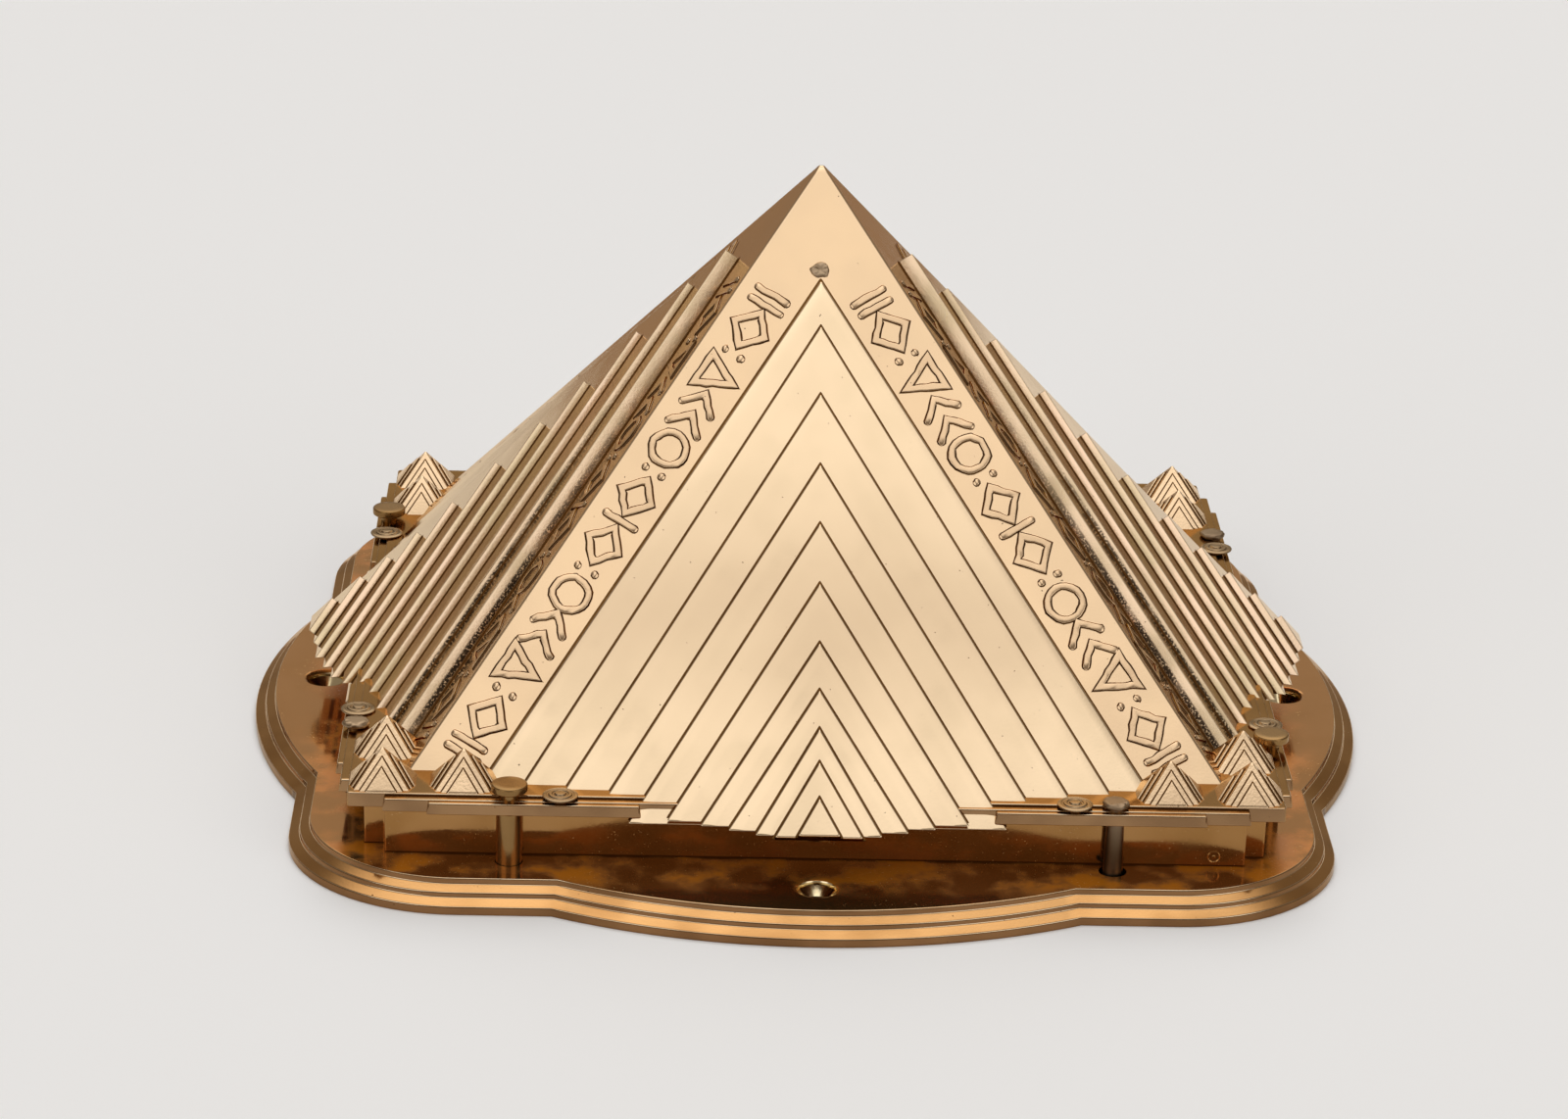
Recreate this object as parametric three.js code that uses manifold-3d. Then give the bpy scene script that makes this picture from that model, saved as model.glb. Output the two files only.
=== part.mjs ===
// Vastu pyramid: a stepped pyramid cover and a notched tray, pinned to a scalloped base plate.
// Millimetres, +Z up. The origin is under the middle of the base, and the front face looks along -Y.

import * as THREE from 'three';
import { mergeVertices } from 'three/addons/utils/BufferGeometryUtils.js';
import Module from 'manifold-3d';

const wasm = await Module();
wasm.setup();

// The pyramid sets the widths of all that it stands on
const PYRAMID_HEIGHT = 65;
const FACE_ANGLE = THREE.MathUtils.degToRad(51.84);

// Base plate: a disc joined with a rounded square, so that four bulges and four corner lobes alternate
const LOBE_MARGIN = 8.28;
const BULGE_REACH = 7.6;
const LOBE_CORNER_RADIUS = 21.9;
const FOOT_RISER = 1.1;
const MIDDLE_RISER = 0.6;
const TOP_RISER = 0.75;
const RISER_DRAFT = 0.33;
const FOOT_TREAD = 1.2;
const TOP_TREAD = 0.9;
const TREAD_DROP = 0.65;
const EDGE_ROUND = 0.12;
const PLATE_THICKNESS = 1.4;
const RIM_WALL = 1.6;

// Screw holes, one in each bulge, and the bosses under them
const SCREW_HOLE_RADIUS = 2.45;
const SCREW_HOLE_LEAD_IN = 0.15;
const SCREW_EDGE_DISTANCE = 9.4;
const BOSS_WALL = 1.5;

// Tray: a square box with its corners notched in
const RIM_OVERHANG = 1.83;
const TRAY_HEIGHT = 6.95;
const TRAY_NOTCH = 2.7;
const TRAY_WALL = 1.8;
const TRAY_FLOOR = 1.4;

// Cover: the rim is a square plate with a ledge and a lower lip along each side
const TIP_HALF_WIDTH = 0.3;
const COVER_WALL = 2;
const RIM_MARGIN = 7.25;
const RIM_THICKNESS = 1.9;
const TAB_WIDTH = 4.43;
const LEDGE_REACH = 1.3;
const LEDGE_DROP = 0.3;
const LIP_SETBACK = 5.5;
const LIP_REACH = 0.75;
const LIP_DROP = 0.15;
const RIM_DRAFT = 0.2;
const RIM_ARRIS = 0.12;
const SEAT_WIDTH = 6.5;

// Raised triangles on each face, from the widest to the narrowest. Heights are shares of the pyramid's
// height above the rim, and half widths at the rim are shares of the face's own. The last ones stop
// short of the rim's underside, by shares of the rim's thickness. Those on the left and right faces
// that pass the lip run on below it.
const FIRST_LAYER_STEP = 2.1;
const LAYER_STEP = 0.98;
const LAYER_APEX_SHARES = [0.815, 0.743, 0.637, 0.528, 0.439, 0.349, 0.261, 0.193, 0.139, 0.093, 0.044];
const LAYER_FOOT_SHARES = [0.815, 0.717, 0.615, 0.51, 0.424, 0.341, 0.259, 0.192, 0.129, 0.085, 0.039];
const SHORT_LAYER_SHARES = [0.18, 0.5];
const SIDE_LAYER_DROP = 0.7;

// Small pyramids, three on each corner of the rim, each with two raised triangles a face
const MINI_HALF_WIDTH = 4;
const MINI_HEIGHT = 4.6;
const MINI_TIP_HALF_WIDTH = 0.15;
const MINI_PITCH = 9.8;
const MINI_EDGE_GAP = 0.13;
const MINI_LAYER_STEP = 0.3;
const MINI_LAYER_SHARES = [0.79, 0.58];

// Pins and studs stand in a line along each side, a button pin to the left and a stake pin to the right
const PIN_STANDOFF = 2;
const BUTTON_CORNER_DISTANCE = 20.1;
const STAKE_CORNER_DISTANCE = 21.3;
const STUD_CORNER_DISTANCE = 26.4;
const PIN_CLEARANCE = 0.12;
const PIN_FOOT_RECESS = 0.25;
const SOCKET_RADIUS = 1.75;
const NECK_RADIUS = 1.1;
const BUTTON_RADIUS = 2.28;
const BUTTON_THICKNESS = 1.05;
const BUTTON_LIFT = 0.7;
const BUTTON_ROUND = 0.2;
const STAKE_FOOT_RADIUS = 1.27;
const STAKE_HEAD_RADIUS = 1.85;
const STAKE_HEAD_RISE = 0.55;
const STAKE_HEAD_THICKNESS = 0.35;
const STUD_SHANK_RADIUS = 0.9;
const STUD_RADIUS = 2.25;
const STUD_FLARE = 0.3;
const STUD_THICKNESS = 0.25;
const STUD_RING_RADIUS = 1.6;
const STUD_BOSS_RADIUS = 0.7;
const STUD_RELIEF = 0.15;

// Facets, and the overrun of a cut past the face that it opens
const BULGE_STEPS = 12;
const LOBE_STEPS = 7;
const ROUND_STEPS = 16;
const OVERRUN = 1;
const QUARTER_TURN = Math.PI / 2;
const SIDES = ['front', 'right', 'back', 'left'];

// Worked out from the sizes above
const BASE_HEIGHT = FOOT_RISER + MIDDLE_RISER + TOP_RISER + 2 * TREAD_DROP;
const EDGE_DEPTH = 3 * RISER_DRAFT + FOOT_TREAD + TOP_TREAD;
const FLUSH_LAYERS = LAYER_APEX_SHARES.length - SHORT_LAYER_SHARES.length;
const TRAY_TOP = BASE_HEIGHT + TRAY_HEIGHT;
const FACE_HALF_WIDTH = PYRAMID_HEIGHT / Math.tan(FACE_ANGLE);
const RIM_HALF_WIDTH = FACE_HALF_WIDTH + RIM_MARGIN;
const LEDGE_EDGE = RIM_HALF_WIDTH + LEDGE_REACH;
const LIP_EDGE = LEDGE_EDGE + LIP_REACH;
const TRAY_HALF_WIDTH = RIM_HALF_WIDTH - RIM_OVERHANG;
const OPENING_HALF_WIDTH = TRAY_HALF_WIDTH - SEAT_WIDTH;
const LOBE_HALF_WIDTH = RIM_HALF_WIDTH + LOBE_MARGIN;
const BASE_RADIUS = LOBE_HALF_WIDTH + BULGE_REACH;
const SCREW_LINE = BASE_RADIUS - SCREW_EDGE_DISTANCE;
const PIN_LINE = TRAY_HALF_WIDTH + PIN_STANDOFF;
const BUTTON_OFFSET = BUTTON_CORNER_DISTANCE - RIM_HALF_WIDTH;
const STAKE_OFFSET = RIM_HALF_WIDTH - STAKE_CORNER_DISTANCE;
const STUD_OFFSET = RIM_HALF_WIDTH - STUD_CORNER_DISTANCE;
const MINI_ANGLE = Math.atan(MINI_HEIGHT / MINI_HALF_WIDTH);
const SHANK_RADIUS = SOCKET_RADIUS - PIN_CLEARANCE;

// Closed geometry to solid and back

function toSolid(geometry) {
  const bare = geometry.clone();
  bare.deleteAttribute('normal');
  bare.deleteAttribute('uv');
  const welded = mergeVertices(bare);
  return new wasm.Manifold(new wasm.Mesh({
    numProp: 3,
    vertProperties: new Float32Array(welded.attributes.position.array),
    triVerts: new Uint32Array(welded.index.array),
  }));
}

function toGeometry(solid) {
  const mesh = solid.getMesh();
  const geometry = new THREE.BufferGeometry();
  geometry.setAttribute('position', new THREE.BufferAttribute(mesh.vertProperties, 3));
  geometry.setIndex(new THREE.BufferAttribute(mesh.triVerts, 1));
  const faceted = geometry.toNonIndexed();
  faceted.computeVertexNormals();
  return faceted;
}

function join(solids) {
  return solids.reduce((whole, solid) => whole.add(solid));
}

function onEachSide(geometry) {
  return SIDES.map((side, turn) => toSolid(geometry.clone().rotateZ(turn * QUARTER_TURN)));
}

// Outlines and lofts

function arc(centreX, centreY, radius, start, end, steps) {
  const points = [];
  for (let step = 0; step <= steps; step += 1) {
    const angle = start + (end - start) * step / steps;
    points.push(new THREE.Vector2(centreX + radius * Math.cos(angle), centreY + radius * Math.sin(angle)));
  }
  return points;
}

function allRound(quarter) {
  const middle = new THREE.Vector2();
  return SIDES.flatMap((side, turn) => (
    quarter.map((point) => point.clone().rotateAround(middle, turn * QUARTER_TURN))
  ));
}

function rectangle(halfX, halfY) {
  return [
    new THREE.Vector2(-halfX, -halfY),
    new THREE.Vector2(halfX, -halfY),
    new THREE.Vector2(halfX, halfY),
    new THREE.Vector2(-halfX, halfY),
  ];
}

// A closed solid through outlines of equal length, from the lowest to the highest
function loft(levels) {
  const count = levels[0].outline.length;
  const positions = levels.flatMap(({ outline, height }) => outline.flatMap(({ x, y }) => [x, y, height]));
  const index = [];
  for (let level = 0; level < levels.length - 1; level += 1) {
    for (let corner = 0; corner < count; corner += 1) {
      const low = level * count + corner;
      const lowNext = level * count + (corner + 1) % count;
      index.push(low, lowNext, lowNext + count, low, lowNext + count, low + count);
    }
  }
  const topStart = (levels.length - 1) * count;
  const lowest = THREE.ShapeUtils.triangulateShape(levels[0].outline, []);
  const highest = THREE.ShapeUtils.triangulateShape(levels.at(-1).outline, []);
  lowest.forEach(([a, b, c]) => index.push(c, b, a));
  highest.forEach(([a, b, c]) => index.push(topStart + a, topStart + b, topStart + c));
  const geometry = new THREE.BufferGeometry();
  geometry.setAttribute('position', new THREE.Float32BufferAttribute(positions, 3));
  geometry.setIndex(index);
  return geometry;
}

function cylinder(radius, bottom, top) {
  const outline = arc(0, 0, radius, 0, 2 * Math.PI, ROUND_STEPS).slice(1);
  return loft([{ outline, height: bottom }, { outline, height: top }]);
}

function atPin(geometry, offset) {
  return geometry.translate(offset, -PIN_LINE, 0);
}

// A turned piece from its outline of radius and height, which starts and ends on the axis
function turned(outline) {
  const points = outline.map(([radius, height]) => new THREE.Vector2(radius, height));
  return new THREE.LatheGeometry(points, ROUND_STEPS).rotateX(QUARTER_TURN);
}

// Base plate

function scallop(inset) {
  const radius = BASE_RADIUS - inset;
  const side = LOBE_HALF_WIDTH - inset;
  const notch = Math.acos(side / radius);
  const centre = LOBE_HALF_WIDTH - LOBE_CORNER_RADIUS;
  return allRound([
    ...arc(0, 0, radius, -notch, notch, BULGE_STEPS),
    ...arc(centre, centre, LOBE_CORNER_RADIUS - inset, 0, QUARTER_TURN, LOBE_STEPS),
  ]);
}

function basePlate() {
  const levels = [];
  let height = 0;
  let inset = 0;
  for (const [riser, tread] of [[FOOT_RISER, FOOT_TREAD], [MIDDLE_RISER, TOP_TREAD]]) {
    levels.push({ outline: scallop(inset), height });
    height += riser;
    inset += RISER_DRAFT;
    levels.push({ outline: scallop(inset), height });
    height += TREAD_DROP;
    inset += tread;
  }
  levels.push({ outline: scallop(inset), height });
  levels.push({ outline: scallop(EDGE_DEPTH), height: BASE_HEIGHT - EDGE_ROUND });
  levels.push({ outline: scallop(EDGE_DEPTH + EDGE_ROUND), height: BASE_HEIGHT });
  const recess = scallop(EDGE_DEPTH + RIM_WALL);
  const underside = BASE_HEIGHT - PLATE_THICKNESS;
  const bossTop = BASE_HEIGHT - PLATE_THICKNESS / 2;
  const pinBoss = cylinder(SOCKET_RADIUS + BOSS_WALL, 0, bossTop);
  const screwBoss = cylinder(SCREW_HOLE_RADIUS + BOSS_WALL, 0, bossTop).translate(0, -SCREW_LINE, 0);
  const socket = cylinder(SOCKET_RADIUS, -OVERRUN, BASE_HEIGHT + OVERRUN);
  const screwHole = turned([
    [0, -OVERRUN],
    [SCREW_HOLE_RADIUS, -OVERRUN],
    [SCREW_HOLE_RADIUS, BASE_HEIGHT - SCREW_HOLE_LEAD_IN],
    [SCREW_HOLE_RADIUS + SCREW_HOLE_LEAD_IN, BASE_HEIGHT],
    [SCREW_HOLE_RADIUS + SCREW_HOLE_LEAD_IN, BASE_HEIGHT + OVERRUN],
    [0, BASE_HEIGHT + OVERRUN],
  ]).translate(0, -SCREW_LINE, 0);
  const bosses = [
    ...onEachSide(screwBoss),
    ...onEachSide(atPin(pinBoss.clone(), BUTTON_OFFSET)),
    ...onEachSide(atPin(pinBoss, STAKE_OFFSET)),
  ];
  const holes = [
    ...onEachSide(screwHole),
    ...onEachSide(atPin(socket.clone(), BUTTON_OFFSET)),
    ...onEachSide(atPin(socket, STAKE_OFFSET)),
  ];
  const hollow = loft([{ outline: recess, height: -OVERRUN }, { outline: recess, height: underside }]);
  return toSolid(loft(levels)).subtract(toSolid(hollow)).add(join(bosses)).subtract(join(holes));
}

// Tray

function notchedSquare(halfWidth, notch) {
  const corner = halfWidth - notch;
  return allRound([
    new THREE.Vector2(halfWidth, corner),
    new THREE.Vector2(corner, corner),
    new THREE.Vector2(corner, halfWidth),
  ]);
}

function plinthTray() {
  const outer = notchedSquare(TRAY_HALF_WIDTH, TRAY_NOTCH);
  const inner = notchedSquare(TRAY_HALF_WIDTH - TRAY_WALL, TRAY_NOTCH);
  const box = loft([{ outline: outer, height: 0 }, { outline: outer, height: TRAY_HEIGHT }]);
  const hollow = loft([
    { outline: inner, height: TRAY_FLOOR },
    { outline: inner, height: TRAY_HEIGHT + OVERRUN },
  ]);
  return toSolid(box).subtract(toSolid(hollow));
}

// Cover, modelled from the underside of its rim

function pyramid(halfWidth, height, tip, skirt) {
  const foot = rectangle(halfWidth, halfWidth);
  return loft([
    { outline: foot, height: -skirt },
    { outline: foot, height: 0 },
    { outline: rectangle(tip, tip), height: height - tip * height / halfWidth },
  ]);
}

// A triangle raised on the front face of a pyramid that stands on height 0: apex is its height, foot its
// half width at height 0, step how far it stands off the face, inset how far its flanks draw in
function raisedTriangle(face, apex, foot, step, inset, depth) {
  const slopeLength = 1 / Math.sin(face.angle);
  const shift = step / Math.tan(face.angle);
  const spread = foot / (apex * slopeLength);
  const flank = Math.atan(spread);
  const top = apex * slopeLength - shift - inset / Math.sin(flank);
  const bottom = -depth * slopeLength - shift;
  const shape = new THREE.Shape([
    new THREE.Vector2(-(top - bottom) * spread, bottom),
    new THREE.Vector2((top - bottom) * spread, bottom),
    new THREE.Vector2(0, top),
  ]);
  const root = face.root;
  const geometry = new THREE.ExtrudeGeometry(shape, { depth: step + root, bevelEnabled: false });
  return geometry.translate(0, 0, -root).rotateX(face.angle).translate(0, -face.halfWidth, 0);
}

function layers(inset) {
  const face = { angle: FACE_ANGLE, halfWidth: FACE_HALF_WIDTH, root: 2 * COVER_WALL };
  return LAYER_APEX_SHARES.flatMap((apexShare, layer) => {
    const step = FIRST_LAYER_STEP + layer * LAYER_STEP - inset;
    if (step <= 0) {
      return [];
    }
    const foot = LAYER_FOOT_SHARES[layer] * FACE_HALF_WIDTH;
    const shortShare = SHORT_LAYER_SHARES[layer - FLUSH_LAYERS];
    const depth = shortShare ? RIM_THICKNESS * (1 - shortShare) : RIM_THICKNESS + SIDE_LAYER_DROP + OVERRUN;
    return onEachSide(raisedTriangle(face, apexShare * PYRAMID_HEIGHT, foot, step, inset, depth));
  });
}

function miniPyramid() {
  const body = pyramid(MINI_HALF_WIDTH, MINI_HEIGHT, MINI_TIP_HALF_WIDTH, RIM_THICKNESS / 2);
  const face = { angle: MINI_ANGLE, halfWidth: MINI_HALF_WIDTH, root: MINI_LAYER_STEP };
  const triangles = MINI_LAYER_SHARES.flatMap((layerShare, layer) => onEachSide(raisedTriangle(
    face,
    layerShare * MINI_HEIGHT,
    layerShare * MINI_HALF_WIDTH,
    (layer + 1) * MINI_LAYER_STEP,
    0,
    MINI_LAYER_STEP,
  )));
  return join([toSolid(body), ...triangles]);
}

function miniPyramids() {
  const edge = RIM_HALF_WIDTH - RIM_ARRIS;
  const outer = RIM_HALF_WIDTH - MINI_EDGE_GAP - MINI_HALF_WIDTH;
  const inner = outer - MINI_PITCH;
  const mini = toGeometry(miniPyramid());
  const places = [[outer, outer], [inner, outer], [outer, inner]];
  const minis = places.flatMap(([x, y]) => onEachSide(mini.clone().translate(x, y, 0)));
  const outline = rectangle(edge, edge);
  const limits = loft([
    { outline, height: -RIM_THICKNESS / 2 },
    { outline, height: MINI_HEIGHT + OVERRUN },
  ]);
  return join(minis).intersect(toSolid(limits));
}

function slab(halfX, halfY, height) {
  return loft([
    { outline: rectangle(halfX, halfY), height: 0 },
    { outline: rectangle(halfX, halfY - RIM_DRAFT), height: height - RIM_ARRIS },
    { outline: rectangle(halfX - RIM_ARRIS, halfY - RIM_DRAFT - RIM_ARRIS), height },
  ]);
}

function rim() {
  const plateOutline = rectangle(RIM_HALF_WIDTH, RIM_HALF_WIDTH);
  const plateTop = rectangle(RIM_HALF_WIDTH - RIM_ARRIS, RIM_HALF_WIDTH - RIM_ARRIS);
  const ledgeHalf = RIM_HALF_WIDTH - TAB_WIDTH;
  const ledge = slab(ledgeHalf, LEDGE_EDGE, RIM_THICKNESS - LEDGE_DROP);
  const lip = slab(ledgeHalf - LIP_SETBACK, LIP_EDGE, RIM_THICKNESS - LEDGE_DROP - LIP_DROP);
  const plate = loft([
    { outline: plateOutline, height: 0 },
    { outline: plateOutline, height: RIM_THICKNESS - RIM_ARRIS },
    { outline: plateTop, height: RIM_THICKNESS },
  ]);
  const sides = [ledge, lip].flatMap((piece) => [
    toSolid(piece),
    toSolid(piece.clone().rotateZ(QUARTER_TURN)),
  ]);
  return join([toSolid(plate), ...sides]);
}

function coverHollow() {
  const wallDrop = COVER_WALL / Math.cos(FACE_ANGLE);
  const height = PYRAMID_HEIGHT - wallDrop;
  const inner = pyramid(height / Math.tan(FACE_ANGLE), height, TIP_HALF_WIDTH, RIM_THICKNESS + OVERRUN);
  const opening = rectangle(OPENING_HALF_WIDTH, OPENING_HALF_WIDTH);
  const column = loft([
    { outline: opening, height: -RIM_THICKNESS - OVERRUN },
    { outline: opening, height: PYRAMID_HEIGHT },
  ]);
  return join([toSolid(inner), ...layers(COVER_WALL)]).intersect(toSolid(column));
}

// The space above the undersides of the raised triangles
function layerLimits() {
  const sideDepth = (BASE_RADIUS - LIP_EDGE) / 2;
  const wide = rectangle(BASE_RADIUS, BASE_RADIUS);
  const narrow = rectangle(sideDepth, BASE_RADIUS);
  const above = loft([
    { outline: wide, height: -RIM_THICKNESS },
    { outline: wide, height: PYRAMID_HEIGHT + OVERRUN },
  ]);
  const beside = loft([
    { outline: narrow, height: -RIM_THICKNESS - SIDE_LAYER_DROP },
    { outline: narrow, height: 0 },
  ]).translate(LIP_EDGE + sideDepth, 0, 0);
  return join([toSolid(above), toSolid(beside), toSolid(beside.clone().rotateZ(2 * QUARTER_TURN))]);
}

function pyramidCover() {
  const body = pyramid(FACE_HALF_WIDTH, PYRAMID_HEIGHT, TIP_HALF_WIDTH, RIM_THICKNESS / 2);
  const raised = join([toSolid(body), ...layers(0), miniPyramids()]);
  const upper = toSolid(toGeometry(raised.intersect(layerLimits()).subtract(coverHollow()))
    .translate(0, 0, RIM_THICKNESS));
  const neckHole = cylinder(NECK_RADIUS + PIN_CLEARANCE, -OVERRUN, RIM_THICKNESS + OVERRUN);
  const shankHole = cylinder(STUD_SHANK_RADIUS + PIN_CLEARANCE, -OVERRUN, RIM_THICKNESS + OVERRUN);
  const holes = [
    ...[BUTTON_OFFSET, STAKE_OFFSET].flatMap((offset) => onEachSide(atPin(neckHole.clone(), offset))),
    ...[-STUD_OFFSET, STUD_OFFSET].flatMap((offset) => onEachSide(atPin(shankHole.clone(), offset))),
  ];
  const openingOutline = rectangle(OPENING_HALF_WIDTH, OPENING_HALF_WIDTH);
  const opening = loft([
    { outline: openingOutline, height: -OVERRUN },
    { outline: openingOutline, height: RIM_THICKNESS },
  ]);
  return rim().subtract(toSolid(opening)).add(upper).subtract(join(holes));
}

// Pins and studs, turned about their own axis

function buttonPin() {
  const rimTop = TRAY_TOP + RIM_THICKNESS;
  const headFoot = rimTop + BUTTON_LIFT;
  const headTop = headFoot + BUTTON_THICKNESS;
  return turned([
    [0, PIN_FOOT_RECESS],
    [SHANK_RADIUS, PIN_FOOT_RECESS],
    [SHANK_RADIUS, TRAY_TOP],
    [NECK_RADIUS, TRAY_TOP],
    [NECK_RADIUS, headFoot],
    [BUTTON_RADIUS - BUTTON_ROUND, headFoot],
    [BUTTON_RADIUS, headFoot + BUTTON_ROUND],
    [BUTTON_RADIUS, headTop - BUTTON_ROUND],
    [BUTTON_RADIUS - BUTTON_ROUND, headTop],
    [0, headTop],
  ]);
}

function stakePin() {
  const flareFoot = TRAY_TOP + RIM_THICKNESS;
  const flareTop = flareFoot + STAKE_HEAD_RISE;
  return turned([
    [0, PIN_FOOT_RECESS],
    [STAKE_FOOT_RADIUS, PIN_FOOT_RECESS],
    [STAKE_FOOT_RADIUS, BASE_HEIGHT],
    [NECK_RADIUS, TRAY_TOP],
    [NECK_RADIUS, flareFoot],
    [STAKE_HEAD_RADIUS, flareTop],
    [STAKE_HEAD_RADIUS, flareTop + STAKE_HEAD_THICKNESS],
    [0, flareTop + STAKE_HEAD_THICKNESS],
  ]);
}

function rosetteStud() {
  const flareFoot = TRAY_TOP + RIM_THICKNESS;
  const headFoot = flareFoot + STUD_FLARE;
  const headTop = headFoot + STUD_THICKNESS;
  return turned([
    [0, TRAY_TOP],
    [STUD_SHANK_RADIUS, TRAY_TOP],
    [STUD_SHANK_RADIUS, flareFoot],
    [STUD_RADIUS, headFoot],
    [STUD_RADIUS, headTop],
    [STUD_RING_RADIUS, headTop],
    [STUD_RING_RADIUS, headTop + STUD_RELIEF],
    [STUD_BOSS_RADIUS, headTop + STUD_RELIEF],
    [STUD_BOSS_RADIUS, headTop + 2 * STUD_RELIEF],
    [0, headTop + 2 * STUD_RELIEF],
  ]);
}

// Materials

function gold(color, roughness) {
  return new THREE.MeshStandardMaterial({ color, roughness, metalness: 1 });
}

const baseGold = gold(0x9a6a3c, 0.12);
const trayGold = gold(0xa87a48, 0.15);
const coverGold = gold(0xe8c890, 0.2);
const pinGold = gold(0xa5835a, 0.25);
const stakeGrey = new THREE.MeshStandardMaterial({ color: 0x8f7a64, roughness: 0.7, metalness: 0.3 });
const studGold = gold(0xb8905c, 0.2);

// Assembly

const model = new THREE.Group();

function addMesh(name, geometry, material) {
  const mesh = new THREE.Mesh(geometry, material);
  mesh.name = name;
  model.add(mesh);
  return mesh;
}

addMesh('base_plate', toGeometry(basePlate()), baseGold);
addMesh('plinth_tray', toGeometry(plinthTray()), trayGold).position.z = BASE_HEIGHT;
addMesh('pyramid_cover', toGeometry(pyramidCover()), coverGold).position.z = TRAY_TOP;

SIDES.forEach((side, turn) => {
  const angle = turn * QUARTER_TURN;
  const place = (geometry, offset) => atPin(geometry, offset).rotateZ(angle);
  addMesh(`button_pin_${side}`, place(buttonPin(), BUTTON_OFFSET), pinGold);
  addMesh(`stake_pin_${side}`, place(stakePin(), STAKE_OFFSET), stakeGrey);
  addMesh(`rosette_stud_${side}_left`, place(rosetteStud(), -STUD_OFFSET), studGold);
  addMesh(`rosette_stud_${side}_right`, place(rosetteStud(), STUD_OFFSET), studGold);
});

export default model;
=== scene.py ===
import math
import random

import bmesh
import bpy
from mathutils import Matrix, Vector, noise
from mathutils.geometry import delaunay_2d_cdt


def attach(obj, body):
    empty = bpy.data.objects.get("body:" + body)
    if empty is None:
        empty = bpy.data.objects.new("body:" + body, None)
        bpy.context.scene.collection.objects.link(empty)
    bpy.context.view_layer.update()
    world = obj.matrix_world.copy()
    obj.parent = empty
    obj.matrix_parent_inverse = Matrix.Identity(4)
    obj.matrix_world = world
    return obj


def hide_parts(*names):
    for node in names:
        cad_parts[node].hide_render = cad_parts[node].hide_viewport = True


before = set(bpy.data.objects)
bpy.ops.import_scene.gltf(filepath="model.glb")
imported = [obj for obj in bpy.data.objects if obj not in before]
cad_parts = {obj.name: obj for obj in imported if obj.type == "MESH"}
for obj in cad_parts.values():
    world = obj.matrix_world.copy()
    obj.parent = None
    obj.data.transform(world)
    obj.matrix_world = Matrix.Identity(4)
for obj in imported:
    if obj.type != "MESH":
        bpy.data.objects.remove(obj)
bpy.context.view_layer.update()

# Lengths are in millimetres, and MM turns them into the scene's metres
MM = 0.001
SIDES = ("front", "right", "back", "left")

# Camera
CAMERA_PLACE = (-21.2, -618.8, 259.8)
CAMERA_AZIMUTH = -1.647
CAMERA_ELEVATION = 21.004
CAMERA_ROLL = 1.665
CAMERA_LENS = 113.4
SENSOR_WIDTH = 36
# Nearest and furthest that the camera sees, in metres
CAMERA_CLIP = (0.01, 20)

# Steps of a rounded corner, and the most that its rounding takes of each side
FINE_STEPS = 3
CORNER_STEPS = 4
SIDE_SHARE = 0.45
# Points nearer than this become one, and edges sharper than this angle in degrees stay sharp
WELD = 0.002
SHARP_ANGLE = 38
# The least distance that the triangles of a flat cap tell apart
CAP_PRECISION = 1e-6

# Studio: a round floor, a dim room and soft boxes
FLOOR_RADIUS = 440
FLOOR_STEPS = 96
FLOOR_COLOUR = (0.93, 0.945, 0.96)
FLOOR_ROUGHNESS = 0.9
ROOM_COLOUR = (0.27, 0.235, 0.2)
ROOM_LOW_COLOUR = (0.32, 0.22, 0.15)
# Azimuth and elevation of a soft box's middle, its half width and soft edge, and its strength
SOFT_BOXES = {
    "key": (0, 67, 13, 12, 1.02),
    "top_fill": (180, 80, 24, 14, 0.6),
    "backdrop": (180, 30, 16, 12, 0.27),
    "side_left": (-44, 25, 15, 8, 1.1),
    "side_right": (44, 25, 15, 8, 1.1),
    "back": (180, 54, 18, 12, 1.3),
}
# Height of a direction over which the low room's colour turns into the room's
HORIZON = 0.1

# Cover, from the underside of its rim up. A chamfer of UNDER_CHAMFER breaks each lower edge
UNDER_CHAMFER = 0.06
RIM_FOOT = 10.7
RIM_THICKNESS = 1.9
RIM_TOP = RIM_FOOT + RIM_THICKNESS
FACE_ANGLE = math.radians(51.84)
PYRAMID_HEIGHT = 65
FACE_HALF_WIDTH = PYRAMID_HEIGHT / math.tan(FACE_ANGLE)
RIM_HALF_WIDTH = 58.323
LEDGE_HALF_LENGTH = 53.893
LEDGE_EDGE = 59.623
LEDGE_THICKNESS = 1.6
LIP_HALF_LENGTH = 48.393
LIP_GAP = 21.9
LIP_EDGE = 60.373
LIP_THICKNESS = 1.45
RIM_DRAFT = 0.2
RIM_ROUND = 0.18
RIM_CORNER_ROUND = 0.5
RIM_TOP_RUN = 0.6
# How far the rim's top runs in under the faces, and its ledges and lips under its edge
RIM_TUCK = 2
SLAB_TUCK = 1.5
SLAB_TOP_RUN = 0.5
SLAB_CORNER_ROUND = 0.25
COVER_WALL = 2
OPENING_HALF_WIDTH = 49.99
OPENING_CORNER_ROUND = 0.2
OPENING_WALL = 1
HIP_ROUND = 0.35
TIP_HALF_WIDTH = 0.45
HOLLOW_SKIRT = 1
HOLLOW_HIP_ROUND = 0.3
HOLLOW_TIP_HALF_WIDTH = 0.4
# Half width and rise over the tip's flat, both as shares of the tip's half width
TIP_SHARES = ((0.7, 0.25), (0.3, 0.4))
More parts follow.
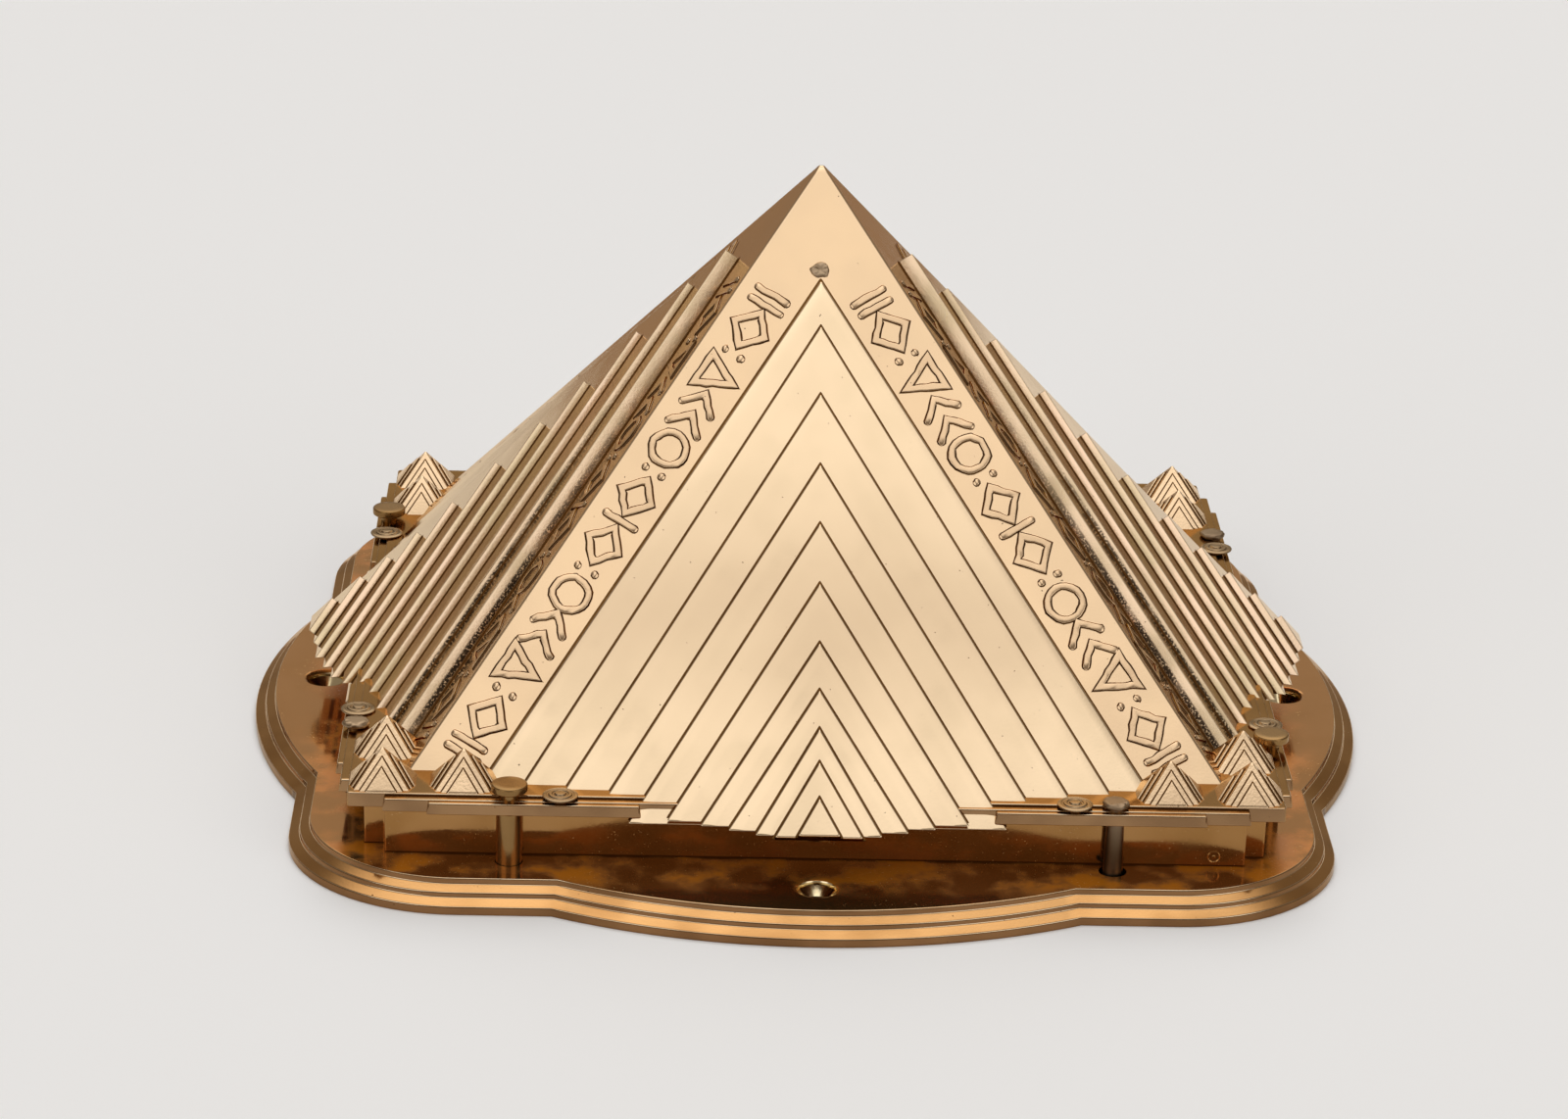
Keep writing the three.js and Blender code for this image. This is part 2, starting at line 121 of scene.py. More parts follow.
# The most that a hip's rounding takes of a half width
HIP_SHARE = 0.4
FIRST_STEP = 2.1
LAYER_STEP = 0.98
APEX_SHARES = (0.815, 0.743, 0.637, 0.528, 0.439, 0.349, 0.261, 0.193, 0.139, 0.093, 0.044)
FOOT_SHARES = (0.815, 0.717, 0.615, 0.51, 0.424, 0.341, 0.259, 0.192, 0.129, 0.085, 0.039)
SHORT_SHARES = {9: 0.18, 10: 0.5}
SIDE_DROP = 0.7
LAYER_DRAFT = math.tan(math.radians(2))
# Rounding, fillet and crown of the front and back layers, and of the crisper left and right ones
LAYER_EDGES = ((0.2, 0.32, 0.1), (0.1, 0.12, 0.0))
FIRST_EDGES = ((0.3, 0.5, 0.14), (0.16, 0.16, 0.0))
CROWN_WIDTH = 1.3
# Shares of a crown's height still to rise, and of its width, from a layer's edge inwards
CROWN_SHARES = ((0.55, 0.3), (0.2, 0.65), (0.0, 1.0))
GROOVE_CLEARANCE = 0.015
# Strips of a layer's section that belong to the groove at its foot, which is painted with shade
GROOVE_STRIPS = 6
LAYER_SUNK = 0.3
CORNER_ROUND_SHARE = 1.3
# The layer whose foot hangs lower on all sides, and the first one without a crown
DROPPED_LAYER = 4
UNCROWNED_LAYER = 9

# Small pyramids on the rim
MINI_HALF_WIDTH = 3.45
MINI_HEIGHT = 4.5
MINI_PITCH = 10.1
MINI_EDGE_GAP = 0.75
MINI_STEP = 0.3
MINI_SHARES = (0.79, 0.58)
MINI_ROUND = 0.13
MINI_FILLET = 0.16
MINI_SKIRT = 0.3
MINI_HIP_ROUND = 0.12
MINI_TIP_HALF_WIDTH = 0.16
MINI_SUNK = 0.2
# How far a small pyramid's layers stay inside the rim's edge
MINI_CLEARANCE = 0.12

# Base plate
BASE_HEIGHT = 3.75
BASE_RADIUS = 74.203
LOBE_HALF_WIDTH = 66.603
LOBE_CORNER_RADIUS = 21.9
BULGE_STEPS = 36
LOBE_STEPS = 22
EDGE_PROFILE = ((0.06, 0), (0, 0.06), (0.05, 1.1), (1.4, 1.74), (1.45, 2.38), (2.7, 2.98), (2.75, 3.75))
EDGE_ROUND = 0.14
# Rise over run below which a strip of the edge counts as flat
FLAT_SLOPE = 0.1
# Strips of the rounded profile painted with a highlight where they catch the light, and those painted with
# shade under an edge
BRIGHT_STRIPS = (6, 10, 14, 18, 22)
SHADED_STRIPS = (5, 13, 21)
TOP_INSET = 3.5
RECESS_INSET = 4.69
RECESS_HEIGHT = 2.35
BOSS_WALL = 1.5
SCREW_LINE = 64.803
SCREW_HOLE_RADIUS = 2.45
SCREW_STEPS = 48
# A screw hole's rounded lip: outside the hole's radius, and below the base's top
SCREW_LIP = ((0.6, 0), (0.3, 0.08), (0.08, 0.26), (0, 0.5))
SEAT_RADIUS = 1.4
SEAT_DEPTH = 1.05
SEAT_TOP = 2.95
SOCKET_RADIUS = 1.75
SOCKET_STEPS = 32

# Tray
TRAY_HALF_WIDTH = 56.493
TRAY_NOTCH = 2.7
TRAY_WALL = 1.8
TRAY_FLOOR = 1.4
TRAY_ROUND = 0.3
JOINT_LINE = 0.2

# Pins and studs
PIN_LINE = 58.493
BUTTON_OFFSET = -38.223
STAKE_OFFSET = 37.023
STUD_OFFSET = 31.923
# Kind, end of the node's name, place along the side, gold, and the slot's name
PINS = (
    ("button_pin", "", BUTTON_OFFSET, "pin_gold", "pin_gold"),
    ("stake_pin", "", STAKE_OFFSET, "stake_gold", "stake_grey"),
    ("rosette_stud", "_left", -STUD_OFFSET, "stud_gold", "stud_gold"),
    ("rosette_stud", "_right", STUD_OFFSET, "stud_gold", "stud_gold"),
)
PIN_STEPS = 40
# Radius and height along each kind of pin or stud, and the rounding of its corners
PIN_PROFILES = {
    "button_pin": (
        0.22, [(1.63, 0.25), (1.63, 10.7), (1.1, 10.7), (1.1, 13.3), (2.28, 13.3), (2.28, 14.3),
               (1.2, 14.35)]
    ),
    "stake_pin": (
        0.18, [(1.27, 0.25), (1.27, 3.75), (1.1, 10.7), (1.1, 12.6), (1.8, 12.85), (1.85, 13.2),
               (1.5, 13.45), (0.8, 13.5)]
    ),
    "rosette_stud": (
        0.08, [(0.9, 10.7), (0.9, 12.55), (2.2, 12.63), (2.25, 12.85), (1.8, 12.95), (1.72, 12.88),
               (1.52, 12.88), (1.42, 13.04), (1.08, 13.06), (0.98, 12.94), (0.78, 12.94), (0.68, 13.16),
               (0.3, 13.18)]
    ),
}
# A stake pin's cut off head: where it starts, and how far it is pushed in and down
CUT_START = 12.8
CUT_PUSH = 0.1
CUT_DROP = 0.12
# Noise cycles a millimetre for the push and the drop, and a plane of the noise that the push doesn't use
CUT_PUSH_PITCH = 1.3
CUT_DROP_PITCH = 2.1
CUT_DROP_PLANE = 5

# Moulding mark on the front wall of the tray: across, height, and its profile
MARK_PLACE = (49.8, 5.05)
MARK_PROFILE = (
    (0.85, -0.05), (0.82, 0.07), (0.72, 0.1), (0.62, 0.05), (0.58, -0.02), (0.3, -0.02), (0.24, 0.06),
    (0.1, 0.09),
)
MARK_STEPS = 24

# Ornament: ridges along the bare band beside each flank of a face
RIDGE_WIDTH = 0.95
# Half of a ridge's section, from its foot to its middle: share of the half width, and height
RIDGE_SECTION = (
    (1.3, -0.03), (1.24, 0.0), (1.15, 0.02), (1.06, 0.06), (0.82, 0.18), (0.73, 0.215), (0.6, 0.23)
)
# Material numbers of the strips of half a section: the steep flank is painted with shade as a dark outline
RIDGE_MARKS = [0, 0, 1, 1, 0, 0]
RIDGE_SPACING = 0.85
RIDGE_WOBBLE = 0.05
WIDTH_WOBBLE = 0.06
# How far an open ridge's end grows, as a share of its width, and the shares and widths of its two steps
END_GROWTH = 0.45
END_STEPS = ((0.7, 0.72), (1, 0.25))
# The sharpest mitre, as the least cosine between a ridge and its bisector
MITRE_LIMIT = 0.45
ORNAMENT_SEED = 11
ORNAMENT_SHARP = 45
BAND_MIDDLE = 4.5
BAND_START = 4.6
BAND_END = 79
HALF_TALL = 2.25
RING_STEPS = 20
# Heights off the face between which the first two risers are scorched
SCORCHED_RISES = ((0.25, 1.0), (2.2, 2.66))
# How softly the scorch starts and ends, the heights over which it fades, and what is left of it
STREAK_EDGE = 0.1
SCORCH_HEIGHTS = (28, 54)
SCORCH_LEFT = 0.1
GATE_PLACE = 67.7
GATE_WIDTH = 1.25
GATE_TALL = 0.95
GATE_STEPS = 28
# Share of the width, and height, from a blob's foot to its middle
GATE_PROFILE = ((1.12, -0.1), (1.0, 0.1), (0.9, 0.2), (0.6, 0.22), (0.3, 0.16))
GATE_WOBBLE = 0.3
GATE_WOBBLE_PITCH = 1.5
GATE_ROUGHNESS = 0.5
GATE_ROUGHNESS_PITCH = 4

# Noises of the plating: the size of their blotches, their detail, and the values between which they show
PITS = (0.5, 1.0, (0.79, 0.83))
SMUDGES = (6, 4.0, (0.5, 0.8))
SPECKS = (0.3, 2.0, (0.68, 0.74))
SCORCH_SPOTS = (0.25, 2.0, (0.37, 0.47))
SCORCH_PATCHES = (6, 2.0, (0.3, 0.45))
# Patches of painted shade
PAINTED_SHADE_PATCHES = (24, 2.0, (0.25, 0.6))
FILM_PATCHES = (6, 3.0, (0.4, 0.62))
# The least share of painted shade and of scorch between their patches
PAINTED_SHADE_LEAST = 0.55
SCORCH_LEAST = 0.3
# Size and detail of the noises that always show
BLOTCH_SIZE = 9
WAVES = (5, 1.0)
GRAINS = (0.35, 3.0)
# Values of the blotches between which the tint, the roughness and the share of specks change
TINT_SPAN = (0.35, 0.7)
ROUGH_SPAN = (0.3, 0.7)
SPECK_SPAN = (0.4, 0.6)
PIT_DARKNESS = 0.4
# What smudges, pits, specks and film add to the roughness, and what film takes from the metal
SMUDGE_ROUGHNESS = 0.05
PIT_ROUGHNESS = 0.3
SPECK_ROUGHNESS = 0.35
FILM_ROUGHNESS = 0.12
FILM_DULLNESS = 0.7
FILM_STRENGTH = 0.95
# Distance from the middle at which the film starts to fade, and where it ends
FILM_REACH = (62, 68.5)

# Each gold's colour, worn colour and span of roughness, and what else plated() takes
GOLDS = {
    "cover_gold": ((0.73, 0.53, 0.33), (0.7, 0.51, 0.32), (0.1, 0.15), {}),
    # The layers' gold darkens in patches at middle heights: painted shade
    "layer_gold": ((0.79, 0.61, 0.405), (0.75, 0.58, 0.38), (0.1, 0.15),
                   {"painted_shade": (16, 30, 50, (0.63, 0.475, 0.31))}),
    "riser_gold": ((0.76, 0.56, 0.4), (0.7, 0.56, 0.36), (0.13, 0.2), {"grain": 0.005, "pits": 0.04}),
    "scorched_gold": ((0.72, 0.54, 0.37), (0.66, 0.52, 0.33), (0.18, 0.28),
                      {"grain": 0.01, "pits": 0.06, "scorch": (0.06, 0.042, 0.026)}),
    # Risers on the front and back, darkened with painted shade; the same risers on the left and right use
    # riser_gold
    "flank_painted_shade_gold": ((0.3, 0.175, 0.08), (0.24, 0.135, 0.06), (0.15, 0.25),
                   {"grain": 0.005, "edge": (0.6, 0.38, 0.18)}),
    # Dark gold of painted shade in grooves and on the ornament's steep flanks, and of the dark joint line
    # at the tray's foot
    "painted_shade_and_joint_gold": ((0.13, 0.06, 0.016), (0.1, 0.045, 0.012), (0.25, 0.35),
                    {"grain": 0.008, "edge": (0.45, 0.24, 0.08)}),
    # The rim with its ledges and lips, darkened below the cover's gold as a painted dim reflection: painted
    # shade
    "rim_painted_shade_gold": ((0.36, 0.21, 0.1), (0.27, 0.155, 0.075), (0.1, 0.16),
                 {"grain": 0.005, "edge": (0.95, 0.75, 0.5)}),
    # Pale gold for thin lines along rounded edges: a painted highlight
    "painted_highlight_gold": ((0.74, 0.6, 0.42), (0.5, 0.36, 0.22), (0.12, 0.2), {"grain": 0.01}),
    "ornament_gold": ((0.7, 0.5, 0.31), (0.66, 0.47, 0.29), (0.14, 0.2), {"grain": 0.006}),
    "mini_gold": ((0.86, 0.63, 0.4), (0.74, 0.54, 0.34), (0.16, 0.24), {"grain": 0.016, "pits": 0.05}),
    # The base's risers and hidden walls, darker than its top: painted shade
    "base_gold": ((0.3, 0.155, 0.066), (0.22, 0.11, 0.045), (0.06, 0.1), {"wave": 0.006, "grain": 0.003}),
    # The base's treads, lighter than its risers: painted light
    "base_tread_painted_light_gold": ((0.55, 0.3, 0.115), (0.42, 0.215, 0.076), (0.06, 0.12), {"wave": 0.014, "grain": 0.003}),
    # Pale gold inside a screw hole's seat: a painted bright reflection
    "seat_painted_highlight_gold": ((0.85, 0.72, 0.46), (0.7, 0.56, 0.33), (0.1, 0.18), {"wave": 0.008}),
    "base_amber": ((0.46, 0.225, 0.08), (0.4, 0.185, 0.055), (0.07, 0.14),
                   {"wave": 0.006, "grain": 0.002, "metallic": 0.93, "dust": (0.6, 0.38, 0.16),
                    "film": (0.6, 0.2, 0.01)}),
    "tray_gold": ((0.41, 0.215, 0.075), (0.34, 0.17, 0.052), (0.07, 0.13),
                  {"wave": 0.01, "grain": 0.003, "metallic": 0.93, "dust": (0.55, 0.34, 0.15)}),
    "pin_gold": ((0.3, 0.175, 0.065), (0.22, 0.12, 0.04), (0.18, 0.28), {"metallic": 0.9}),
    # The stake pin's gold darkens along its shaft below the head: painted shade
    "stake_gold": ((0.3, 0.21, 0.13), (0.19, 0.135, 0.085), (0.3, 0.5),
                   {"grain": 0.03, "pits": 0.08, "painted_shade": (1, 6, 12.4, (0.09, 0.055, 0.028))}),
    "gate_gold": ((0.42, 0.31, 0.2), (0.3, 0.21, 0.13), (0.35, 0.5), {"grain": 0.05, "pits": 0.1}),
    "stud_gold": ((0.3, 0.205, 0.115), (0.23, 0.155, 0.085), (0.15, 0.25), {}),
}


def add_camera():
    azimuth, elevation, roll = (math.radians(a) for a in (CAMERA_AZIMUTH, CAMERA_ELEVATION, CAMERA_ROLL))
    back = Vector((
        math.sin(azimuth) * math.cos(elevation),
        -math.cos(azimuth) * math.cos(elevation),
        math.sin(elevation),
    ))
    level = Vector((math.cos(azimuth), math.sin(azimuth), 0))
    up = back.cross(level)
    right = math.cos(roll) * level + math.sin(roll) * up
    data = bpy.data.cameras.new("camera")
    data.sensor_width = SENSOR_WIDTH
    data.lens = CAMERA_LENS
    data.clip_start, data.clip_end = CAMERA_CLIP
    camera = bpy.data.objects.new("camera", data)
    bpy.context.scene.collection.objects.link(camera)
    turn = Matrix((right, back.cross(right), back)).transposed().to_4x4()
    camera.matrix_world = Matrix.Translation(Vector(CAMERA_PLACE) * MM) @ turn
    bpy.context.scene.camera = camera


# Materials

class Nodes:
    """A node tree with short ways to add and join nodes."""

    def __init__(self, tree):
        self.tree = tree

    def feed(self, node, inputs):
        """Joins or sets a node's inputs."""
        for name, value in inputs.items():
            if isinstance(value, bpy.types.NodeSocket):
                self.tree.links.new(value, node.inputs[name])
            else:
                node.inputs[name].default_value = value

    def add(self, kind, inputs=None, **settings):
        node = self.tree.nodes.new(kind)
        for name, value in settings.items():
            setattr(node, name, value)
        self.feed(node, inputs or {})
        return node

    def math(self, operation, first, second=0.0):
        return self.add("ShaderNodeMath", {0: first, 1: second}, operation=operation).outputs[0]

    def ramp(self, value, low, high, start=0.0, end=1.0):
        return self.add(
            "ShaderNodeMapRange",
            {"Value": value, "From Min": low, "From Max": high, "To Min": start, "To Max": end},
            interpolation_type="SMOOTHSTEP",
        ).outputs[0]

    def noise(self, place, size, detail=2.0):
        """Noise whose blotches are about size millimetres wide."""
        return self.add(
            "ShaderNodeTexNoise", {"Vector": place, "Scale": 1 / (size * MM), "Detail": detail}
        ).outputs["Fac"]

    def spots(self, place, kind, least=0.0):
        """One of the plating's noises, as a share between least and 1."""
        size, detail, (low, high) = kind
        return self.ramp(self.noise(place, size, detail), low, high, least)

    def part(self, vector, axis):
        return self.add("ShaderNodeSeparateXYZ", {0: vector}).outputs[axis]

    def spread(self, place):
        """The place on the side where x and y are positive, so that what uses it is mirrored."""
        return self.add("ShaderNodeVectorMath", {0: place}, operation="ABSOLUTE").outputs["Vector"]

    def dot(self, vector, direction):
        return self.add(
            "ShaderNodeVectorMath", {0: vector, 1: direction}, operation="DOT_PRODUCT"
        ).outputs["Value"]

    def mix(self, share, first, second):
        node = self.add("ShaderNodeMix", data_type="RGBA")
        for name, value in (("Factor", share), ("A", first), ("B", second)):
            socket = next(s for s in node.inputs if s.name == name and s.enabled)
            if isinstance(value, bpy.types.NodeSocket):
                self.tree.links.new(value, socket)
            else:
                socket.default_value = value if name == "Factor" else (*value, 1)
        return next(s for s in node.outputs if s.enabled)

    def bump(self, height, depth, under=None):
        inputs = {"Height": height, "Distance": depth * MM, "Strength": 1.0}
        if under is not None:
            inputs["Normal"] = under
        return self.add("ShaderNodeBump", inputs).outputs["Normal"]


def painted_shade_share(nodes, place, low, middle, high):
    """The share of painted shade: it grows from the low height to the middle one and fades to the high one,
    in patches.
    """
    height = nodes.part(place, "Z")
    share = nodes.math("MULTIPLY", nodes.ramp(height, low * MM, middle * MM),
                       nodes.ramp(height, middle * MM, high * MM, 1.0, 0.0))
    return nodes.math("MULTIPLY", share, nodes.spots(place, PAINTED_SHADE_PATCHES, PAINTED_SHADE_LEAST))


def scorched(nodes, place):
    """Speckled streaks along the first risers of the left and right faces."""
    outward = (math.sin(FACE_ANGLE), 0, math.cos(FACE_ANGLE))
    rise = nodes.dot(nodes.spread(place), outward)
    face = FACE_HALF_WIDTH * outward[0] + RIM_TOP * outward[2]
    streaks = 0.0
    for low, high in SCORCHED_RISES:
        low, high = face + low, face + high
        starts = nodes.ramp(rise, (low - STREAK_EDGE) * MM, low * MM)
        ends = nodes.ramp(rise, (high - 2 * STREAK_EDGE) * MM, (high + STREAK_EDGE) * MM, 1.0, 0.0)
        streaks = nodes.math("ADD", streaks, nodes.math("MULTIPLY", starts, ends))
    marks = nodes.math("MULTIPLY", nodes.spots(place, SCORCH_SPOTS),
                       nodes.spots(place, SCORCH_PATCHES, SCORCH_LEAST))
    low, high = SCORCH_HEIGHTS
    fade = nodes.ramp(nodes.part(place, "Z"), low * MM, high * MM, 1.0, SCORCH_LEFT)
    marks = nodes.math("MULTIPLY", marks, fade)
    return nodes.math("MULTIPLY", marks, streaks)


def filmed(nodes, place):
    """Patches that fade towards the base's edge."""
    spread = nodes.spread(place)
    reach = nodes.math("MAXIMUM", nodes.part(spread, "X"), nodes.part(spread, "Y"))
    start, end = FILM_REACH
    return nodes.math("MULTIPLY", nodes.spots(place, FILM_PATCHES),
                      nodes.ramp(reach, start * MM, end * MM, FILM_STRENGTH, 0.0))


def plated(name, colour, worn, roughness, wave=0.012, grain=0.004, pits=0.03, metallic=1.0,
           edge=(1, 0.9, 0.75), dust=None, scorch=None, painted_shade=None, film=None):
    """Bright plating on moulded plastic: wavy, finely grained, pitted and smudged. wave, grain and pits
    are depths. dust, scorch and film are the colours of specks, of dark streaks and of patches. The
    painted shade argument gives three heights, between which painted shade darkens the plating and
    clears, and the colour of that painted shade."""
    material = bpy.data.materials.new(name)
    material.use_nodes = True
    shader = material.node_tree.nodes["Principled BSDF"]
    nodes = Nodes(material.node_tree)
    place = nodes.add("ShaderNodeTexCoord").outputs["Object"]
    blotches = nodes.noise(place, BLOTCH_SIZE)
    pit = nodes.spots(place, PITS)
    tint = nodes.mix(nodes.ramp(blotches, *TINT_SPAN), colour, worn)
    tint = nodes.mix(pit, tint, tuple(PIT_DARKNESS * c for c in worn))
    rough = nodes.math("ADD", nodes.ramp(blotches, *ROUGH_SPAN, *roughness),
                       nodes.math("MULTIPLY", nodes.spots(place, SMUDGES), SMUDGE_ROUGHNESS))
    rough = nodes.math("ADD", rough, nodes.math("MULTIPLY", pit, PIT_ROUGHNESS))
    metal = metallic
    # Painted shade: the tint darkens towards a given colour between given heights
    if painted_shade:
        *heights, painted_shade_colour = painted_shade
        tint = nodes.mix(painted_shade_share(nodes, place, *heights), tint, painted_shade_colour)
    if scorch:
        tint = nodes.mix(scorched(nodes, place), tint, scorch)
    if film:
        patches = filmed(nodes, place)
        tint = nodes.mix(patches, tint, film)
        rough = nodes.math("ADD", rough, nodes.math("MULTIPLY", patches, FILM_ROUGHNESS))
        metal = nodes.math("SUBTRACT", metallic, nodes.math("MULTIPLY", patches, FILM_DULLNESS))
    if dust:
        specks = nodes.math("MULTIPLY", nodes.spots(place, SPECKS), nodes.ramp(blotches, *SPECK_SPAN))
        tint = nodes.mix(specks, tint, dust)
        rough = nodes.math("ADD", rough, nodes.math("MULTIPLY", specks, SPECK_ROUGHNESS))
    normal = nodes.bump(nodes.noise(place, *WAVES), wave)
    normal = nodes.bump(nodes.noise(place, *GRAINS), grain, normal)
    normal = nodes.bump(nodes.math("SUBTRACT", 1.0, pit), pits, normal)
    nodes.feed(shader, {"Base Color": tint, "Metallic": metal, "Roughness": rough, "Normal": normal,
                        "Specular Tint": (*edge, 1)})
    return material


def add_world():
    world = bpy.data.worlds.new("studio")
    bpy.context.scene.world = world
    world.use_nodes = True
    nodes = Nodes(world.node_tree)
    direction = nodes.add("ShaderNodeTexCoord").outputs["Generated"]
    total = None
    for azimuth, elevation, width, softness, strength in SOFT_BOXES.values():
        a, e = math.radians(azimuth), math.radians(elevation)
        middle = (math.sin(a) * math.cos(e), -math.cos(a) * math.cos(e), math.sin(e))
        outer = math.cos(math.radians(width + softness))
        inner = math.cos(math.radians(width))
        patch = nodes.ramp(nodes.dot(direction, middle), outer, inner, 0.0, strength)
        total = patch if total is None else nodes.math("ADD", total, patch)
    room = world.node_tree.nodes["Background"]
    height = nodes.part(direction, "Z")
    colour = nodes.mix(nodes.ramp(height, -HORIZON, HORIZON), ROOM_LOW_COLOUR, ROOM_COLOUR)
    world.node_tree.links.new(colour, room.inputs["Color"])
    boxes = nodes.add("ShaderNodeBackground", {"Color": (1, 1, 1, 1), "Strength": total})
    both = nodes.add("ShaderNodeAddShader", {0: room.outputs[0], 1: boxes.outputs[0]})
    output = world.node_tree.nodes["World Output"]
    world.node_tree.links.new(both.outputs[0], output.inputs["Surface"])


def add_floor():
    corners = at_height(circle((0, 0), FLOOR_RADIUS, FLOOR_STEPS), 0)
    mesh = bpy.data.meshes.new("floor")
    mesh.from_pydata([Vector(c) * MM for c in corners], [], [tuple(range(FLOOR_STEPS))])
    floor = bpy.data.objects.new("floor", mesh)
    bpy.context.scene.collection.objects.link(floor)
    material = bpy.data.materials.new("floor")
    material.use_nodes = True
    shader = material.node_tree.nodes["Principled BSDF"]
    shader.inputs["Base Color"].default_value = (*FLOOR_COLOUR, 1)
    shader.inputs["Roughness"].default_value = FLOOR_ROUGHNESS
    shader.inputs["Specular IOR Level"].default_value = 0
    mesh.materials.append(material)


# Outlines

def rounded(points, radius, steps=FINE_STEPS, closed=True):
    """The outline with its corners rounded off, each by radius or as far as its sides allow."""
    points = [Vector(p) for p in points]
    result = []
    for i, corner in enumerate(points):
        if not closed and i in (0, len(points) - 1):
            result.append(corner)
            continue
        before = points[i - 1] - corner
        after = points[(i + 1) % len(points)] - corner
        start = corner + before * min(radius / before.length, SIDE_SHARE)
        end = corner + after * min(radius / after.length, SIDE_SHARE)
        for step in range(steps + 1):
            t = step / steps
            result.append(start * (1 - t) ** 2 + corner * 2 * t * (1 - t) + end * t * t)
    return result


def arc(centre, radius, start, end, steps):
    angles = (start + (end - start) * step / steps for step in range(steps + 1))
    return [Vector((centre[0] + radius * math.cos(a), centre[1] + radius * math.sin(a))) for a in angles]


def circle(centre, radius, steps):
    return arc(centre, radius, 0, 2 * math.pi, steps)[:-1]


def turned_point(point, turn):
    x, y = point[0], point[1]
    for _ in range(turn % 4):
        x, y = -y, x
    return (x, y, *point[2:])


def all_round(quarter):
    return [Vector(turned_point(p, turn)) for turn in range(4) for p in quarter]


def square(half):
    return [(-half, -half), (half, -half), (half, half), (-half, half)]


def at_height(outline, height):
    return [(p[0], p[1], height) for p in outline]


# Meshes

class Shell:
    """Points and faces of a piece, in millimetres."""

    def __init__(self):
        self.points = []
        self.faces = []
        self.marks = {}

    def add(self, points):
        start = len(self.points)
        self.points.extend(tuple(p) for p in points)
        return list(range(start, len(self.points)))

    def loft(self, rings, low_cap=True, high_cap=True, closed=True, marks=(), across=()):
        """Faces between the rings. marks gives a material number for each strip and then the top, and
        across gives one for each face round a strip."""
        rows = [self.add(ring) for ring in rings]
        count = len(rows[0])
        for strip, (low, high) in enumerate(zip(rows, rows[1:])):
            for i in range(count if closed else count - 1):
                j = (i + 1) % count
                self.faces.append((low[i], low[j], high[j], high[i]))
                if marks or across:
                    self.marks[len(self.faces) - 1] = marks[strip] if marks else across[i]
        if low_cap:
            self.faces.append(tuple(reversed(rows[0])))
        if high_cap:
            self.faces.append(tuple(rows[-1]))
            if marks:
                self.marks[len(self.faces) - 1] = marks[-1]

    def holed_cap(self, outline, holes, height, up=True):
        loops = [outline, *holes]
        points = [Vector(p[:2]) for loop in loops for p in loop]
        edges = []
        start = 0
        for loop in loops:
            count = len(loop)
            edges += [(start + i, start + (i + 1) % count) for i in range(count)]
            start += count
        flat, _, faces, *_ = delaunay_2d_cdt(points, edges, [], 1, CAP_PRECISION)
        place = self.add((p[0], p[1], height) for p in flat)
        rounds = [(sum((Vector(p) for p in hole), Vector((0, 0))) / len(hole), hole[0]) for hole in holes]
        for face in faces:
            middle = sum((flat[i] for i in face), Vector((0, 0))) / len(face)
            if any((middle - centre).length < (Vector(edge) - centre).length for centre, edge in rounds):
                continue
            corners = [place[i] for i in face]
            a, b, c = (flat[i] for i in face[:3])
            rises = (b - a).cross(c - a) > 0
            self.faces.append(tuple(corners if rises == up else reversed(corners)))

    def lathe(self, profile, steps, centre):
        self.loft([at_height(circle(centre, radius, steps), height) for radius, height in profile])

    def turn(self, turn):
        shell = Shell()
        shell.points = [turned_point(p, turn) for p in self.points]
        shell.faces = list(self.faces)
        shell.marks = dict(self.marks)
        return shell

    def join(self, other):
        start = len(self.points)
        self.marks.update((len(self.faces) + face, number) for face, number in other.marks.items())
        self.points.extend(other.points)
        self.faces.extend(tuple(start + i for i in face) for face in other.faces)


def make_piece(name, shell, materials, node=None, sharp=SHARP_ANGLE):
    mesh = bpy.data.meshes.new(name)
    mesh.from_pydata([Vector(p) * MM for p in shell.points], [], shell.faces)
    for material in materials:
        mesh.materials.append(material)
    for face, number in shell.marks.items():
        mesh.polygons[face].material_index = number
    editable = bmesh.new()
    editable.from_mesh(mesh)
    bmesh.ops.remove_doubles(editable, verts=editable.verts, dist=WELD * MM)
    editable.to_mesh(mesh)
    editable.free()
    mesh.validate()
    mesh.polygons.foreach_set("use_smooth", [True] * len(mesh.polygons))
    mesh.set_sharp_from_angle(angle=math.radians(sharp))
    piece = bpy.data.objects.new(name, mesh)
    bpy.context.scene.collection.objects.link(piece)
    piece.modifiers.new("normals", "WEIGHTED_NORMAL").keep_sharp = True
    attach(piece, "root")
    if node:
        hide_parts(node)
    return piece


# Base plate

def scallop(inset):
    radius = BASE_RADIUS - inset
    side = LOBE_HALF_WIDTH - inset
    notch = math.acos(side / radius)
    centre = LOBE_HALF_WIDTH - LOBE_CORNER_RADIUS
    return all_round([
        *arc((0, 0), radius, -notch, notch, BULGE_STEPS),
        *arc((centre, centre), LOBE_CORNER_RADIUS - inset, 0, math.pi / 2, LOBE_STEPS),
    ])


